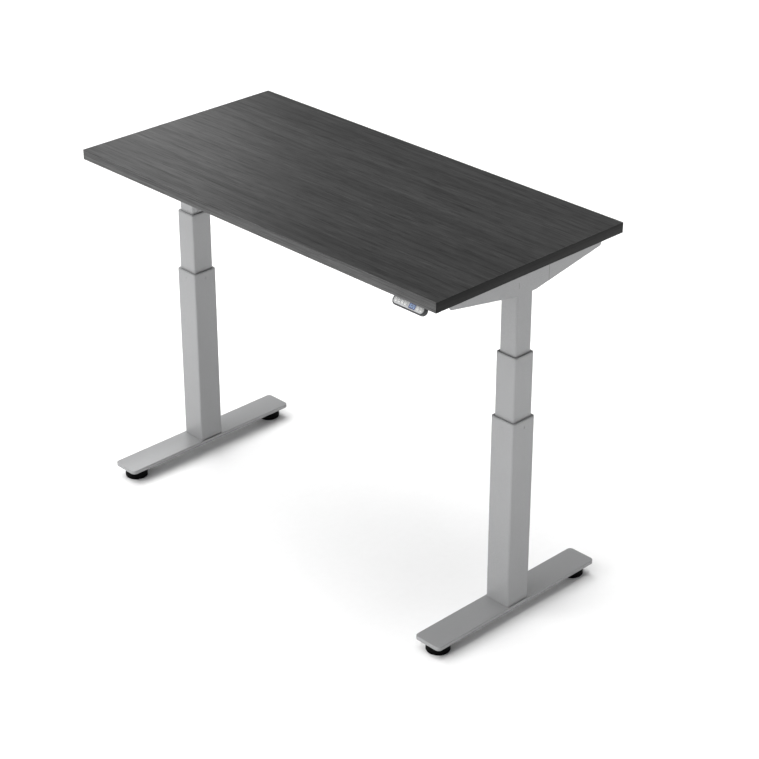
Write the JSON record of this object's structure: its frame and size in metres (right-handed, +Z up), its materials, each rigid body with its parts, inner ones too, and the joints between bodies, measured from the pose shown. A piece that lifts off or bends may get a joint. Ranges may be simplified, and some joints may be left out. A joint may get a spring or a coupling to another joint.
{
  "type": "height adjustable standing desk",
  "caption": "Rectangular dark wood-grain desktop on two silver three-stage motor columns with flat foot plates, black levelling glides and a small oblong keypad under the front edge.",
  "frame": {"origin": "on the floor, under the middle of the desktop", "axes": "+X to the user's right along the desktop, +Y away from the user, +Z up"},
  "size_m": [1.2, 0.6, 0.92],
  "materials": {
    "painted_silver": "silver powder coat, satin",
    "laminate": "anthracite wood-grain melamine, matt",
    "edge": "anthracite edge band, matt",
    "glide_black": "black moulded glide, matt",
    "black_plastic": "black moulded plastic, matt",
    "dark_plastic": "dark grey moulded plastic, matt",
    "pale_plastic": "light grey moulded plastic, satin",
    "key_white": "off-white key caps, satin",
    "guide_white": "white low-friction nylon",
    "display_blue": "blue display window, gloss",
    "steel": "turned steel, oiled",
    "zinc": "zinc-plated steel",
    "cast_aluminium": "die-cast, as cast",
    "board_green": "circuit board",
    "lead_black": "black lead jacket, matt"
  },
  "bodies": {
    "base": {"left_foot_plate": "painted_silver", "left_outer_tube": "painted_silver", "left_outer_collar": "dark_plastic", "left_column_base": "steel", "right_foot_plate": "painted_silver", "right_outer_tube": "painted_silver", "right_outer_collar": "dark_plastic", "right_column_base": "steel"},
    "desk": {"desktop_panel": "laminate", "edge_band": "edge", "left_inner_tube": "painted_silver", "left_inner_slider": "guide_white", "left_gearbox": "cast_aluminium", "left_motor": "zinc", "left_side_bracket": "painted_silver", "left_motor_lead": "lead_black", "left_motor_plug": "black_plastic", "right_inner_tube": "painted_silver", "right_inner_slider": "guide_white", "right_gearbox": "cast_aluminium", "right_motor": "zinc", "right_side_bracket": "painted_silver", "right_motor_lead": "lead_black", "right_motor_plug": "black_plastic", "front_rail": "painted_silver", "rear_rail": "painted_silver", "control_box_base": "dark_plastic", "control_box_cover": "dark_plastic", "control_board": "board_green", "mains_inlet": "black_plastic", "handset_plug": "black_plastic", "handset_lead": "lead_black", "handset_housing": "dark_plastic", "handset_face": "pale_plastic", "handset_display": "display_blue", "handset_board": "board_green", "handset_mount": "black_plastic"},
    "left_front_glide": {"left_front_glide": "glide_black"},
    "left_rear_glide": {"left_rear_glide": "glide_black"},
    "left_middle_stage": {"left_middle_tube": "painted_silver", "left_middle_collar": "dark_plastic", "left_middle_slider": "guide_white", "left_carrier_tube": "zinc"},
    "left_hollow_screw": {"left_hollow_screw": "steel"},
    "left_drive_screw": {"left_drive_screw": "steel"},
    "right_front_glide": {"right_front_glide": "glide_black"},
    "right_rear_glide": {"right_rear_glide": "glide_black"},
    "right_middle_stage": {"right_middle_tube": "painted_silver", "right_middle_collar": "dark_plastic", "right_middle_slider": "guide_white", "right_carrier_tube": "zinc"},
    "right_hollow_screw": {"right_hollow_screw": "steel"},
    "right_drive_screw": {"right_drive_screw": "steel"},
    "key_down": {"key_down": "key_white"},
    "key_up": {"key_up": "key_white"},
    "key_1": {"key_1": "key_white"},
    "key_2": {"key_2": "key_white"},
    "key_3": {"key_3": "key_white"},
    "key_memory": {"key_memory": "key_white"}
  },
  "joints": [
    {"name": "desk_lift", "type": "slide", "parent": "base", "child": "desk", "axis": [0, 0, 1], "range_m": [-0.295, 0.355]},
    {"name": "left_middle_lift", "type": "slide", "parent": "base", "child": "left_middle_stage", "axis": [0, 0, 1], "range_m": [-0.1476, 0.1776]},
    {"name": "left_hollow_screw_turn", "type": "hinge", "parent": "left_middle_stage", "child": "left_hollow_screw", "pos_m": [-0.5546, 0, 0.5], "axis": [0, 0, 1], "range_deg": [-2660, 3200]},
    {"name": "left_drive_screw_turn", "type": "hinge", "parent": "desk", "child": "left_drive_screw", "pos_m": [-0.5546, 0, 0.5], "axis": [0, 0, 1], "range_deg": [-2660, 3200]},
    {"name": "left_front_glide_level", "type": "slide", "parent": "base", "child": "left_front_glide", "axis": [0, 0, 1], "range_m": [0, 0.006]},
    {"name": "left_rear_glide_level", "type": "slide", "parent": "base", "child": "left_rear_glide", "axis": [0, 0, 1], "range_m": [0, 0.006]},
    {"name": "right_middle_lift", "type": "slide", "parent": "base", "child": "right_middle_stage", "axis": [0, 0, 1], "range_m": [-0.1476, 0.1776]},
    {"name": "right_hollow_screw_turn", "type": "hinge", "parent": "right_middle_stage", "child": "right_hollow_screw", "pos_m": [0.5546, 0, 0.5], "axis": [0, 0, 1], "range_deg": [-2660, 3200]},
    {"name": "right_drive_screw_turn", "type": "hinge", "parent": "desk", "child": "right_drive_screw", "pos_m": [0.5546, 0, 0.5], "axis": [0, 0, 1], "range_deg": [-2660, 3200]},
    {"name": "right_front_glide_level", "type": "slide", "parent": "base", "child": "right_front_glide", "axis": [0, 0, 1], "range_m": [0, 0.006]},
    {"name": "right_rear_glide_level", "type": "slide", "parent": "base", "child": "right_rear_glide", "axis": [0, 0, 1], "range_m": [0, 0.006]},
    {"name": "key_down_press", "type": "slide", "parent": "desk", "child": "key_down", "axis": [0, 0.8192, -0.5736], "range_m": [0, 0.0006], "stiffness_N_per_m": 600},
    {"name": "key_up_press", "type": "slide", "parent": "desk", "child": "key_up", "axis": [0, 0.8192, -0.5736], "range_m": [0, 0.0006], "stiffness_N_per_m": 600},
    {"name": "key_1_press", "type": "slide", "parent": "desk", "child": "key_1", "axis": [0, 0.8192, -0.5736], "range_m": [0, 0.0006], "stiffness_N_per_m": 600},
    {"name": "key_2_press", "type": "slide", "parent": "desk", "child": "key_2", "axis": [0, 0.8192, -0.5736], "range_m": [0, 0.0006], "stiffness_N_per_m": 600},
    {"name": "key_3_press", "type": "slide", "parent": "desk", "child": "key_3", "axis": [0, 0.8192, -0.5736], "range_m": [0, 0.0006], "stiffness_N_per_m": 600},
    {"name": "key_memory_press", "type": "slide", "parent": "desk", "child": "key_memory", "axis": [0, 0.8192, -0.5736], "range_m": [0, 0.0006], "stiffness_N_per_m": 600}
  ],
  "couplings": [
    {"joint": "left_middle_lift", "follows": "desk_lift", "ratio": 0.5},
    {"joint": "left_hollow_screw_turn", "follows": "desk_lift", "rad_per_m": 157.08},
    {"joint": "left_drive_screw_turn", "follows": "desk_lift", "rad_per_m": 157.08},
    {"joint": "right_middle_lift", "follows": "desk_lift", "ratio": 0.5},
    {"joint": "right_hollow_screw_turn", "follows": "desk_lift", "rad_per_m": 157.08},
    {"joint": "right_drive_screw_turn", "follows": "desk_lift", "rad_per_m": 157.08}
  ]
}
